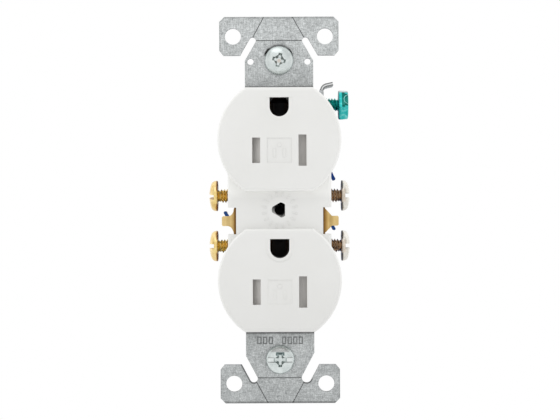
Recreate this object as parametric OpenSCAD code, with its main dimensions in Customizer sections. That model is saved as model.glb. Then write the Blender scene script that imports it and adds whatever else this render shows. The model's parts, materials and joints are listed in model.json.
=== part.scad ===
// Duplex wall receptacle, tamper resistant, on a steel mounting strap.
// X runs to the right, Z up, Y into the wall. The front faces -Y.
// The origin is on the axis of the centre wall-plate thread, at the
// back face of the mounting strap.

/* [Faces] */
// Diameter of each round face
face_d = 34.1; // [33.9:0.05:34.3]
// Height of each face across its flats
face_h = 28.58; // [28.4:0.02:28.8]
// Distance of each face centre above or below the middle
face_z = 19.45; // [19.4:0.01:19.5]
// How far the faces stand in front of the strap's back
face_y = 8.2; // [8.1:0.05:8.4]
// Rounding of the front edges
face_r = 1.15; // [0.8:0.05:1.2]
// How far the bridge between the faces stands in front of the strap's back
bridge_y = 4.2; // [4.1:0.05:4.4]
// Half width of the bridge
bridge_w = 14.35; // [14.3:0.01:14.4]

/* [Slots] */
// Distance of each blade slot from the middle line
blade_x = 6.35; // [6.3:0.01:6.4]
// Height of the blade slots below each face centre
blade_dz = 3.05; // [3.0:0.01:3.1]
// Height of the centre of the ground hole's round end above the blade slots
ground_dz = 11.91; // [11.85:0.01:11.95]
// Radius of the ground hole's round end
ground_r = 2.64; // [2.6:0.01:2.7]
// Height of the short slot
short_slot = 7.0; // [6.8:0.1:7.2]
// Height of the long slot
long_slot = 8.6; // [8.4:0.1:8.8]
// Width of the slots
slot_w = 2.2; // [2.1:0.05:2.3]

/* [Strap] */
// Length of the strap over its ears
strap_len = 107.8; // [107.0:0.1:108.0]
// Width of the strap over its ears
ear_w = 33.3; // [33.0:0.1:33.6]
// Width of the neck
neck_w = 19.06; // [19.0:0.02:19.1]
// Thickness of the strap
strap_t = 1.0; // [0.95:0.01:1.05]
// Distance between the two mounting screws
screw_span = 83.34; // [83.3:0.01:83.4]
// Distance between the ear holes, across
ear_hole_x = 25.7; // [25.6:0.05:25.8]
// Distance between the ear holes, along
ear_hole_z = 96.9; // [96.8:0.05:97.0]
// Radius of the ear holes
ear_hole_r = 2.25; // [2.2:0.01:2.3]
// Radius of the wall-plate thread
plate_thread_r = 1.4; // [1.34:0.01:1.42]

/* [Terminals] */
// Height of the upper wire screws
term_z1 = 4.05; // [4.0:0.01:4.1]
// Height of the lower wire screws
term_z2 = -10.15; // [-10.2:0.01:-10.1]
// Depth of the wire screws' axes behind the strap's back
term_y = 6.0; // [5.9:0.05:6.1]
// Radius of the wire screws' threads
term_r = 1.97; // [1.95:0.01:2.0]
// Radius of the wire screws' heads
term_head_r = 4.3; // [4.2:0.01:4.32]
// Where the underside of a backed-out wire screw's head stands
term_x = 17.4; // [17.3:0.05:17.5]
// Height of the ground screw
gs_z = 29.7; // [29.65:0.01:29.75]

/* [Body] */
// Width of the back body
body_w = 27.8; // [27.7:0.05:27.8]
// Height of the back body
body_h = 66.4; // [66.3:0.05:66.5]
// Depth of the back body behind the strap's back
body_y = 20.6; // [20.4:0.1:21.0]
// Thickness of the body's side walls
body_t = 1.6; // [1.5:0.05:1.7]

/* [Shutters] */
// How far a shutter slides
shut_travel = 2.6; // [2.5:0.05:2.6]

/* [Hidden] */
$fn = 64;

white = "#e9e9e6"; blue = "#1f63b8"; steel = "#c3c8c9"; brass = "#d8b866";
nickel = "#d5d2c8"; green = "#1f9a94"; fibre = "#1c1c1c"; grey = "#8f8b88";
zinc = "#d9dedd";

half = strap_len/2;             // strap end
mz = screw_span/2;              // mounting screw height
R = face_d/2;
skin = 1.5;                     // thickness of the faces' front wall
wall = 1.55;                    // thickness of the cover's side walls
zb = [face_z-blade_dz, -face_z-blade_dz];   // blade lines
notch = [0.7, -6.7, 12.05];     // side notch: top, bottom, depth in x
pi_x = 10.4;                    // push-in wire holes
pi_z = [10.9, -17.0];
bs = [[-10.4, 30.4], [10.4, -30.4]];        // body screws
hex_turn = 19.5;                // how far the ground screw's head stands turned

// ---- helpers ----
// flat outline in X and Z, made into a plate from y0 to y1
module slab(y0, y1) translate([0, y1, 0]) rotate([90,0,0]) linear_extrude(y1-y0) children();
// flat outline in Y and Z, made into a bar from x0 to x1
module along_x(x0, x1) translate([x0,0,0]) rotate([90,0,90]) linear_extrude(x1-x0) children();
// flat outline in X and Y, made into a bar from z0 to z1
module along_z(z0, z1) translate([0,0,z0]) linear_extrude(z1-z0) children();
module ycyl(x, z, r, y0, y1) translate([x,y1,z]) rotate([90,0,0]) cylinder(r=r, h=y1-y0);
module xcyl(y, z, r, x0, x1) translate([x0,y,z]) rotate([0,90,0]) cylinder(r=r, h=x1-x0);
module block(a, b) translate(a) cube(b-a);
// rectangle between two corners with round corners
module rrect(a, b, r) {
  translate([a[0]+r, a[1]]) square([b[0]-a[0]-2*r, b[1]-a[1]]);
  translate([a[0], a[1]+r]) square([b[0]-a[0], b[1]-a[1]-2*r]);
  for (x = [a[0]+r, b[0]-r], y = [a[1]+r, b[1]-r]) translate([x,y]) circle(r);
}
// rectangle whose low-first-axis corners alone are round
module front_round(a, b, r) {
  translate([a[0]+r, a[1]]) square([b[0]-a[0]-r, b[1]-a[1]]);
  translate([a[0], a[1]+r]) square([r, b[1]-a[1]-2*r]);
  for (y = [a[1]+r, b[1]-r]) translate([a[0]+r, y]) circle(r);
}
module back_round(a, b, r) {
  translate([a[0], a[1]]) square([b[0]-a[0]-r, b[1]-a[1]]);
  translate([b[0]-r, a[1]+r]) square([r, b[1]-a[1]-2*r]);
  for (y = [a[1]+r, b[1]-r]) translate([b[0]-r, y]) circle(r);
}
// rectangle with half sizes w and h and its corners cut off by c
module clipped(w, h, c) polygon([[-w,c-h],[c-w,-h],[w-c,-h],[w,c-h],[w,h-c],[w-c,h],[c-w,h],[-w,h-c]]);
// outline of one face: a circle cut by two flats
module face_2d(r, h) intersection() { circle(r, $fn=128); square([2*r+2, h], center=true); }
// strip of even thickness t that follows points on one side (offset along the left normal)
function nrm(p, q) = let (d = q-p, l = norm(d)) [-d[1]/l, d[0]/l];
function side(pts, t, i) =
  i == 0 ? pts[0] + t*nrm(pts[0], pts[1]) :
  i == len(pts)-1 ? pts[i] + t*nrm(pts[i-1], pts[i]) :
  let (a = nrm(pts[i-1], pts[i]), b = nrm(pts[i], pts[i+1]), m = a+b) pts[i] + (2*t/(m*m))*m;
module ribbon(pts, t) polygon(concat(pts, [for (i=[len(pts)-1:-1:0]) side(pts, t, i)]));

// ---- face cover ----
module face_solid(zc, trim=0) translate([0,0,zc]) intersection() {
  rotate([90,0,0]) translate([0,0,-1]) rotate_extrude($fn=128) {
    h = face_y+1;
    square([R-face_r, h]);
    square([R, h-face_r]);
    translate([R-face_r, h-face_r]) circle(face_r);
  }
  along_x(-R-1, R+1) front_round([-face_y, -face_h/2+trim], [1, face_h/2], face_r);
}
module tri_hole() intersection() {   // one corner to the left, corners rounded off
  circle(2.15);
  translate([-4, -4]) square([5.5, 8]);
  rotate(120) translate([-4, -4]) square([5.74, 8]);
  rotate(240) translate([-4, -4]) square([5.58, 8]);
}
module d_hole(g) {            // round below, flat above
  translate([0, ground_dz]) { circle(ground_r+g); translate([-ground_r-g, 0]) square([2*(ground_r+g), ground_r+g]); }
}
module face_mark() {          // generic two-bar socket sign
  for (x=[-1.35, 1.35]) translate([x-0.35, -1.9]) square([0.7, 2.3]);
  translate([0, 1.5]) circle(0.6);
}
module face_cover() color(white) difference() {
  union() {
    difference() {
      union() {
        face_solid(face_z);
        face_solid(-face_z, 0.22);          // the lower face is cut off a little shorter
        along_z(-face_z, face_z) rotate(90) front_round([-bridge_y, -bridge_w], [1, bridge_w], 0.7);
      }
      // hollow behind the faces and behind the bridge
      for (s=[1,-1]) slab(-face_y+skin, 2) translate([0, s*face_z]) face_2d(R-wall, face_h-2*wall+0.1);
      block([-bridge_w+1.5, -bridge_y+1.8, -face_z], [bridge_w-1.5, 2, face_z]);
    }
    // boss round the wall-plate screw
    ycyl(0, 0, 3.4, -bridge_y+1, -strap_t-0.05);
    // bosses for the body screws
    for (p=bs) ycyl(p[0], p[1], 1.8, -face_y+skin-0.5, 1);
    // narrow walls beside the notches
    for (s=[1,-1]) block([s>0 ? 10.55 : -notch[2], -bridge_y+0.7, notch[1]-1.2], [s>0 ? notch[2] : -10.55, 1, notch[0]+1.2]);
    // raised ticks round the wall-plate screw hole
    for (i=[0:15]) slab(-bridge_y-0.22, -bridge_y+0.3) rotate(i*22.5+11.25) translate([3.7,-0.2]) square([1.3,0.4]);
  }
  slab(-9, 2) tri_hole();
  ycyl(0, 0, 2.2, -2.62, 0);                   // seat of the strap's collar
  for (p=bs) ycyl(p[0], p[1], 1.15, -face_y+skin+0.9, 2);
  // side notches for the break-off fins
  for (m=[0,1]) slab(-9, 2) mirror([m,0]) translate([notch[2],notch[1]]) square([4, notch[0]-notch[1]]);
  for (z=zb) translate([0,0,z]) {
    slab(-9, -face_y+skin+0.2) translate([-blade_x-slot_w/2, -short_slot/2]) square([slot_w, short_slot]);
    slab(-9, -face_y+skin+0.2) translate([blade_x-slot_w/2, -long_slot/2]) square([slot_w, long_slot]);
    slab(-9, -face_y+skin+0.2) d_hole(0);
    slab(-9, -face_y+0.2) intersection() { d_hole(1.05); translate([-5, ground_dz-5]) square([10, 5+ground_r]); }
    slab(-9, -face_y+0.14) difference() { square(6.7, center=true); face_mark(); }
  }
  // passages for the strap through the end walls
  for (s=[1,-1]) block([-9.75, -strap_t-0.05, s>0 ? 32.1 : -35], [9.75, 2, s>0 ? 35 : -32.1]);
}

// ---- mounting strap ----
module relief(c, r, a) {      // slot between ear and neck, slanting down and out
  translate(c) { circle(r); rotate(a) translate([0,-r]) square([9, 2*r]); }
}
module strap_2d() difference() {
  union() {
    for (k=[0,1]) mirror([0,k]) {
      // ear, with clipped corners
      polygon([[-ear_w/2,half-1.4],[-ear_w/2+1.4,half],[ear_w/2-1.4,half],[ear_w/2,half-1.4],
               [ear_w/2,44.5],[15.5,43.1],[-15.5,43.1],[-ear_w/2,44.5]]);
      translate([-neck_w/2, 32.2]) square([neck_w, 15]);
      translate([-8, 22.3]) square([16, 12]);
    }
    // web past the blade contacts and round the lower ground hole
    translate([-3.1, -33]) square([6.2, 66]);
    rrect([-6.2, -17], [6.2, 10.4], 1);
    // arm out to the ground tab
    translate([7, 22.3]) square([4.2, 4.9]);
  }
  for (m=[0,1]) mirror([m,0]) relief([7.37,47.28], 0.93, -60);
  mirror([0,1]) relief([7.36,46.83], 1.375, -62);
  mirror([1,0]) mirror([0,1]) relief([7.39,47.06], 1.09, -62);
  for (x=[-1,1], z=[-1,1]) translate([x*ear_hole_x/2, z*ear_hole_z/2]) circle(ear_hole_r);
  translate([-3.85, mz+0.35-3.2]) rrect([0,0],[7.7,6.4],2.2);
  translate([-3.6, -mz-2.1]) rrect([0,0],[7.2,4.2],2.09);
  for (s=[-1,1]) translate([s*7.95, 41.4]) circle(0.88);
  circle(plate_thread_r);
  for (z=zb) {
    translate([0, z+ground_dz+0.45]) circle(3.0);
    for (s=[-1,1]) translate([s*2.3, z+7.5]) circle(0.95);
  }
}
module strap_marks() {        // score lines of the break-off ears, and stamped dashes
  translate([-6.6, 47.16]) square([13.2, 0.22]);
  translate([-6.4, -46.9]) square([12.5, 0.22]);
  polygon([[-4.09,half],[-4.33,half],[-7.35,48.3],[-7.15,48.15]]);
  polygon([[3.6,half],[3.84,half],[7.1,48.2],[6.9,48.05]]);
  for (m=[0,1]) mirror([m,0]) mirror([0,1]) polygon([[3.24,half],[3.48,half],[6.78,47.9],[6.58,47.8]]);
  for (x=[-6.4,-4.8,-3.2, 0.5,2.05,3.6,5.15]) translate([x, -37.4]) difference() {
    square([1.2, 2.1]);
    translate([0.3,0.3]) square([0.6, 1.5]);
  }
}
module ground_tab() {
  // bend out of the strap, then the plate that the ground screw threads into
  along_z(22.3, 27.2) {
    translate([10.9,-strap_t]) square([0.31, strap_t]);
    difference() {
      translate([11.2, 0.3]) circle(1.3);
      translate([11.2, 0.3]) circle(0.3);
      translate([9, -3]) square([2.2, 6]);
      translate([9, 0.3]) square([6, 3]);
    }
    translate([11.5, 0.29]) square([1.0, 6]);
  }
  difference() {
    union() {
      along_x(11.5, 12.5) polygon([[1.3,22.3],[9.0,22.3],[10.4,24],[10.4,33.2],[9.6,34],[2.4,34],[1.6,33.2],[1.6,27.2],[1.3,27.2]]);
      // wire guide that curls outward
      slab(2.4, 9.6) ribbon([[12.5,33.2],[12.5,33.7],[12.62,34.1],[12.9,34.42],[13.3,34.62],[15.25,35.06]], 0.94);
    }
    xcyl(term_y, gs_z, term_r+0.05, 11, 13);
  }
}
module mounting_strap() color(steel) {
  difference() {
    union() {
      slab(-strap_t, 0) strap_2d();
      difference() {                       // drawn collar of the wall-plate thread
        ycyl(0, 0, 2.1, -2.5, -strap_t+0.01);
        ycyl(0, 0, plate_thread_r, -3, 0);
      }
      ground_tab();
    }
    slab(-strap_t-1, -strap_t+0.22) strap_marks();
  }
}

// ---- ground contacts, riveted behind the strap ----
module ground_contact(z) color(brass) translate([0,0,z+ground_dz+0.45]) {
  slab(0.02, 0.72) difference() {
    rrect([-3.9, -6.3], [3.9, 2.2], 0.6);
    circle(3.0);
    for (s=[-1,1]) translate([s*2.3, -4.86]) circle(0.95);
  }
  for (m=[0,1]) mirror([m,0,0]) along_z(-2.1, 2.1)
    ribbon([[3.05,0.6],[2.35,1.9],[2.25,6.0],[2.25,7.4],[3.1,11.4]], -0.6);
}
module ground_contact_upper() ground_contact(zb[0]);
module ground_contact_lower() ground_contact(zb[1]);
module ground_rivets() color(steel) for (z=zb, s=[-1,1]) translate([s*2.3, 0, z+7.5]) {
  ycyl(0, 0, 0.9, -1.2, 0.9);
  translate([0,-strap_t-0.01,0]) rotate([90,0,0]) rotate_extrude() polygon([[0,0],[1.3,0],[1.15,0.32],[0.7,0.5],[0,0.52]]);
  translate([0,0.73,0]) rotate([-90,0,0]) rotate_extrude() polygon([[0,0],[1.3,0],[1.15,0.32],[0.7,0.5],[0,0.52]]);
}

// ---- terminal strips: contact, terminal plates and break-off fin in one ----
module blade_contact(z) along_z(z-3.3, z+3.3) {
  ribbon([[4.55,0.7],[4.95,1.7],[4.95,5.5],[5.35,7.2],[4.9,9.6],[4.9,11.6]], -0.6);
  ribbon([[8.15,0.7],[7.75,1.7],[7.75,5.5],[7.35,7.2],[7.8,9.6],[7.8,11.6]], 0.6);
  translate([4.9, 10.9]) square([2.9, 0.7]);
}
module fin_straight() polygon([[12.7,0.3],[12.95,0.25],[14.7,-1.68],[16.3,-1.68],[16.6,-1.98],
  [16.6,-4.16],[16.3,-4.46],[14.7,-4.46],[12.95,-6.3],[12.7,-6.4]]);
module fin_curved() polygon([[12.7,0.45],[12.87,0.42],[13.05,-0.5],[13.4,-1.15],[13.9,-1.53],[14.5,-1.68],
  [15.95,-1.68],[16.25,-1.98],[16.25,-4.16],[15.95,-4.46],[14.5,-4.46],[13.8,-4.75],[13.3,-5.35],[13.0,-6.1],[12.87,-6.7],[12.7,-6.75]]);
module terminal_strip() difference() {
  union() {
    for (z=zb) blade_contact(z);
    slab(10.9, 11.6) {
      translate([9.6, zb[1]-3.3]) square([2.55, zb[0]-zb[1]+6.6]);
      for (z=zb) translate([7.7, z-3.3]) square([2.5, 6.6]);
    }
    along_x(12.1, 12.8) {
      rrect([2.1, 0.45], [11.6, 8.2], 0.6);
      rrect([2.1, -14.3], [11.6, -6.6], 0.6);
      translate([2.1, -8]) square([2.0, 10]);
    }
    slab(2.1, 2.8) children();
  }
  for (z=[term_z1, term_z2]) xcyl(term_y, z, term_r+0.05, 11, 14);
  for (z=pi_z) ycyl(pi_x, z, 1.3, 10, 12);
  // score where the fin's bridge snaps off
  block([11, 2.0, -3.25], [12.3, 4.2, -2.85]);
}
module neutral_terminal_strip() color(brass) terminal_strip() fin_straight();
module hot_terminal_strip() color(brass) mirror([1,0,0]) terminal_strip() fin_curved();

// ---- push-in clips ----
module clip(z) along_z(z-1.8, z+1.8) {
  ribbon([[12.05,5.0],[12.05,10.75],[11.1,10.75],[9.75,6.2]], 0.35);
}
module neutral_push_in_clips() color(brass) for (z=pi_z) clip(z);
module hot_push_in_clips() color(brass) mirror([1,0,0]) for (z=pi_z) clip(z);

// ---- screws ----
module terminal_screw() difference() {      // along +X, underside of the head at x = 0
  rotate([0,90,0]) {
    rotate_extrude() polygon([[0,0],[term_head_r-0.2,0],[term_head_r,0.2],[term_head_r,0.9],[4.12,1.3],[3.85,1.65],[3.3,1.95],[2.5,2.17],[1.5,2.34],[0.6,2.45],[0,2.45]]);
    translate([0,0,-6.0]) cylinder(r=term_r, h=6.1);
    translate([0,0,-6.4]) cylinder(r1=term_r-0.4, r2=term_r, h=0.41);
  }
  block([1.1,-5,-0.6],[3,5,0.6]);
}
module hot_screw_upper() color(brass) translate([-term_x,term_y,term_z1]) mirror([1,0,0]) terminal_screw();
module hot_screw_lower() color(brass) translate([-term_x,term_y,term_z2]) mirror([1,0,0]) terminal_screw();
module neutral_screw_upper() color(nickel) translate([term_x,term_y,term_z1]) terminal_screw();
module neutral_screw_lower() color(nickel) translate([term_x,term_y,term_z2]) terminal_screw();
module ground_screw() color(green) translate([16.6,term_y,gs_z]) difference() {
  rotate([0,90,0]) {
    intersection() {
      rotate(-hex_turn) cylinder(r=4.38, h=2.85, $fn=6);
      translate([0,0,-0.1]) cylinder(r1=5.1, r2=3.85, h=3.0);
    }
    translate([0,0,-5.9]) cylinder(r=term_r, h=6.0);
    translate([0,0,-6.3]) cylinder(r1=term_r-0.4, r2=term_r, h=0.41);
  }
  rotate([hex_turn-90,0,0]) block([1.7,-2.9,-0.6],[4,2.9,0.6]);
}
module mounting_screw() difference() {      // head towards -Y, underside at y = -strap_t
  union() {
    translate([0,-strap_t,0]) rotate([90,0,0]) rotate_extrude()
      polygon([[0,0],[3.75,0],[4.0,0.3],[4.0,0.75],[3.65,1.35],[2.8,1.85],[1.6,2.12],[0,2.2]]);
    ycyl(0, 0, 1.5, -strap_t-0.1, 2.5);           // neck that the retainer holds
    ycyl(0, 0, 1.75, 2.4, 17.0);
    translate([0,18,0]) rotate([90,0,0]) cylinder(r1=1.0, r2=1.75, h=1.01);
  }
  block([-5,-5,-0.5],[5,-strap_t-1.15,0.5]);
  block([-0.5,-5,-2],[0.5,-strap_t-0.6,2]);
  block([-2,-5,-0.5],[2,-strap_t-0.6,0.5]);
}
module mounting_screw_top() color(zinc) translate([0,0,mz]) rotate([0,14,0]) mounting_screw();
module mounting_screw_bottom() color(zinc) translate([0,0,-mz]) mounting_screw();
module screw_retainer(z) color(fibre) translate([0,0,z]) difference() {
  slab(1.55, 2.35) rrect([-4.5,-4.5],[4.5,4.5],0.8);
  ycyl(0, 0, 1.6, 1, 3);
}
module screw_retainer_top() screw_retainer(mz);
module screw_retainer_bottom() screw_retainer(-mz);
module body_screws() color(zinc) for (p=bs) translate([p[0],0,p[1]]) difference() {
  union() {
    ycyl(0, 0, 1.1, -4.4, 19.0);
    translate([0,18.95,0]) rotate([-90,0,0]) rotate_extrude() polygon([[0,0],[1.8,0],[1.8,0.5],[1.4,1.05],[0.7,1.3],[0,1.3]]);
  }
  block([-1.2,19.5,-0.28],[1.2,21,0.28]);
  block([-0.28,19.5,-1.2],[0.28,21,1.2]);
}

// ---- tamper-resistant shutters, one carrier, slider and spring per face ----
module tr_frame(z) color("#d9d9d4") translate([0,0,z]) difference() {
  union() {
    difference() {
      block([-12.4, -face_y+skin+0.05, -5.8], [12.4, -1.5, 5.8]);
      block([-11.68, -7, -5.05], [11.68, -2.1, 5.05]);
    }
    block([0.25, -5.0, -1.0], [1.0, -2.0, 1.0]);      // post behind the spring
    for (s=[-1,1], m=[0,1]) mirror([0,0,m]) block([11.25*s-0.5, -3.9, 4.5], [11.25*s+0.5, -3.3, 5.3]);
  }
  block([-blade_x-1.3, -3, -3.8], [-blade_x+1.3, -1, 3.8]);
  block([blade_x-1.3, -3, -4.5], [blade_x+1.3, -1, 4.5]);
}
module shutter(z) color(grey) translate([0,0,z]) difference() {
  union() {
    block([-11.62, -3.2, -4.95], [11.5-shut_travel, -2.2, 4.95]);
    along_z(-3.75, 3.75) polygon([[-7.65,-3.1],[-7.65,-4.02],[-5.1,-6.44],[-5.1,-3.1]]);
    along_z(-4.45, 4.45) polygon([[5.1,-3.1],[5.1,-4.02],[7.65,-6.44],[7.65,-3.1]]);
    block([-5.2, -4.8, -1.45], [-4.65, -3.1, 1.45]);  // lug that the spring pushes on
  }
  block([-10.35, -4, -3.75], [-7.65, -1, 3.75]);      // ways through for the blades
  block([2.4, -4, -4.4], [5.1, -1, 4.4]);
  block([-4.65, -4, -1.45], [1.2, -1, 1.45]);         // window for spring and post
}
// coil of the return spring, along X
function coil(t, n, r, x0, x1) = [x0+(x1-x0)*t, r*cos(360*n*t), r*sin(360*n*t)];
module spring(z) color(zinc) translate([0,-3.62,z]) {
  n = 6; r = 0.92; w = 0.15; k = 14; m = 6; L = n*k;
  x0 = -4.65+w+0.03; x1 = 0.25-w-0.03;
  pts = [for (i=[0:L]) let (p = coil(i/L, n, r, x0, x1), a = 360*n*i/L)
    for (j=[0:m-1]) let (b = 360*j/m) [p[0]+w*sin(b), p[1]+w*cos(b)*cos(a), p[2]+w*cos(b)*sin(a)]];
  polyhedron(pts, concat(
    [[for (j=[0:m-1]) j]],
    [for (i=[0:L-1], j=[0:m-1]) let (a=i*m+j, b=i*m+(j+1)%m) [a, a+m, b+m, b]],
    [[for (j=[m-1:-1:0]) L*m+j]]));
}
module tr_frame_upper() tr_frame(zb[0]);
module tr_frame_lower() tr_frame(zb[1]);
module tr_shutter_upper() shutter(zb[0]);
module tr_shutter_lower() shutter(zb[1]);
module tr_spring_upper() spring(zb[0]);
module tr_spring_lower() spring(zb[1]);

// ---- back body ----
module wire_fin(zs) {         // quarter-round barrier above a wire screw, right-hand side
  slab(7.2, 12.6) {
    polygon([[12.5,zs+7.9],[13.3,zs+7.55],[13.8,zs+7.0],[14.2,zs+6.2],[14.6,zs+5.5],[15.0,zs+4.8],[15.1,zs+4.6],
      [15.9,zs+4.85],[15.6,zs+5.45],[15.25,zs+6.15],[14.9,zs+7.1],[14.4,zs+7.9],[13.6,zs+8.5],[12.5,zs+8.8]]);
    translate([15.48, zs+4.78]) circle(0.45);
  }
}
module back_body() color(blue) {
  body_shell();
  for (z=[term_z1, term_z2]) {
    wire_fin(z);
    translate([0,0,term_z1+term_z2]) rotate([0,180,0]) wire_fin(z);
  }
}
module body_shell() difference() {
  union() {
    difference() {
      union() {
        // rounded shell
        intersection() {
          slab(1.05, body_y) clipped(body_w/2, body_h/2, 3.2);
          along_x(-20, 20) back_round([1.05,-body_h/2],[body_y,body_h/2],1.6);
          along_z(-40, 40) rotate(90) back_round([1.05,-body_w/2],[body_y,body_w/2],1.6);
        }
        // flange that closes the back of the cover
        intersection() {
          slab(1.05, 1.85) { for (s=[1,-1]) translate([0, s*face_z]) face_2d(16.4, 27.9); translate([-13.9,-12]) square([27.8,24]); }
          block([-20,0,-40],[20,5,40]);
        }
        // tongues that carry the strap at the ends
        for (s=[1,-1]) translate([0,0,s*32.85]) block([-9.4, 0.05, -0.35], [9.4, 2, 0.35]);
      }
      slab(0.5, 18.6) clipped(body_w/2-body_t, body_h/2-1.8, 2.1);
    }
    // barriers between the contacts
    for (s=[1,-1]) {
      block([s>0 ? 3.85 : -4.4, 0.78, -32], [s>0 ? 4.4 : -3.85, 19, 32]);
      block([s>0 ? 8.5 : -9.3, 1.2, -32], [s>0 ? 9.3 : -8.5, 19, 32]);
    }
    for (z=[22.2, 11.2, -17.1, -28.0]) block([-8.6, 1.2, z-0.4], [8.6, 19, z+0.4]);
    for (s=[-1,1], z=zb) block([s*6.35-2.3, 11.7, z-0.4], [s*6.35+2.3, 19, z+0.4]);
    // guides of the push-in holes
    for (s=[-1,1], z=pi_z) ycyl(s*pi_x, z, 2.1, 11.7, 19);
    for (p=bs) ycyl(p[0], p[1], 2.05, 1.05, 19);
  }
  // side recesses for the terminal plates, open between the screws and the inside
  for (s=[1,-1]) {
    block([s>0 ? 12.0 : -17, 1.5, -14.7], [s>0 ? 17 : -12.0, 11.75, -5.7]);
    block([s>0 ? 12.0 : -17, 1.5, -0.4], [s>0 ? 17 : -12.0, 11.75, 8.65]);
    block([s>0 ? 12.0 : -17, 0, -7.0], [s>0 ? 17 : -12.0, 4.3, 1.0]);
    // channel behind the break-off fin
    block([s>0 ? 12.9 : -17, 0, -7.3], [s>0 ? 17 : -12.9, 22, 1.0]);
    // ways for the bent arms of the contacts through the barriers
    for (z=zb) block([s>0 ? 8.0 : -10, 0, z-3.5], [s>0 ? 10 : -8.0, 11.7, z+3.5]);
    // clearance for the ends of the wire screws
    for (z=[term_z1, term_z2]) xcyl(term_y, z, 2.4, s>0 ? 8 : -10, s>0 ? 10 : -8);
    // push-in holes and release slots
    for (z=pi_z) {
      ycyl(s*pi_x, z, 1.2, 11, 21);
      ycyl(s*pi_x, z, 1.9, body_y-0.5, 21);
      block([s*pi_x-0.6, 18, z+3.1], [s*pi_x+0.6, 21, z+6.1]);
    }
  }
  // recess for the ground tab
  block([11.4, 0.5, 21.9], [17, 11.2, 40]);
  xcyl(term_y, gs_z, 2.4, 6, 12);
  for (p=bs) { ycyl(p[0], p[1], 1.25, 0, 21); ycyl(p[0], p[1], 1.92, 18.9, 21); }
  // shallow panel and wire-length gauge on the back
  block([-7, body_y-0.35, -27], [7, body_y+1, -8]);
  block([-7, body_y-0.35, 8], [7, body_y+1, 27]);
  block([-4.5, body_y-0.5, -5.6], [-4.0, body_y+1, 5.6]);
  block([-4.5, body_y-0.5, -5.6], [2.0, body_y+1, -5.1]);
}

face_cover();
back_body();
mounting_strap();
ground_contact_upper();
ground_contact_lower();
ground_rivets();
hot_terminal_strip();
neutral_terminal_strip();
hot_push_in_clips();
neutral_push_in_clips();
hot_screw_upper();
hot_screw_lower();
neutral_screw_upper();
neutral_screw_lower();
ground_screw();
mounting_screw_top();
mounting_screw_bottom();
screw_retainer_top();
screw_retainer_bottom();
tr_frame_upper();
tr_frame_lower();
tr_shutter_upper();
tr_shutter_lower();
tr_spring_upper();
tr_spring_lower();
body_screws();
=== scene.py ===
import json
import math

import bmesh
import bpy
from mathutils import Matrix, Vector

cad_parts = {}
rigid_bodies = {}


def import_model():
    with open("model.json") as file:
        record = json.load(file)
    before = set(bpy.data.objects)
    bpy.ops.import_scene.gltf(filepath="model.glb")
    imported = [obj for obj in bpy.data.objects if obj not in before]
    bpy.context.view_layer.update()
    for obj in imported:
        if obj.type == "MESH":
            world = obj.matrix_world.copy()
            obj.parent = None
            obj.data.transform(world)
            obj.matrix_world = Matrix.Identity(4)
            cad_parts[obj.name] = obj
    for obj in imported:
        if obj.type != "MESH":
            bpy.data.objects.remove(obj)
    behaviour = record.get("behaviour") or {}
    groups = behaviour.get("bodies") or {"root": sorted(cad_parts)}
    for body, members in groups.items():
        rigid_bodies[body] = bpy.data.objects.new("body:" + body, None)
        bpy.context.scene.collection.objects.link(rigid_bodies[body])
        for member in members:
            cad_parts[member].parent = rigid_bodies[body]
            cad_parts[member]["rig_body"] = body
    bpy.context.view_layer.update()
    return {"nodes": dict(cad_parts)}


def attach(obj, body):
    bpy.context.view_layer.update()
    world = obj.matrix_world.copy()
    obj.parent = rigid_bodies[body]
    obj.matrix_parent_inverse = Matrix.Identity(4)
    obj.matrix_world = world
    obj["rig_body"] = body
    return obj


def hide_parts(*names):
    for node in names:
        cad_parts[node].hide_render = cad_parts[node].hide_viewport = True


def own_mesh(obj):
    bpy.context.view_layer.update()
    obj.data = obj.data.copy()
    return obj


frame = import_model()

NODES = frame["nodes"]
MM = 0.001
scene = bpy.context.scene
scene.view_settings.view_transform = "Standard"
scene.view_settings.look = "None"
scene.view_settings.exposure = 0.0
scene.view_settings.gamma = 1.0

# ---------------------------------------------------------------- dimensions (mm, the part's own frame)
FACE_Z = 19.45
BLADE_Z = (16.40, -22.50)
SCREW_Z = (4.05, -10.15)
TERM_Y = 6.0
GS_Z = 29.7
MOUNT_Z = 41.67


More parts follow.
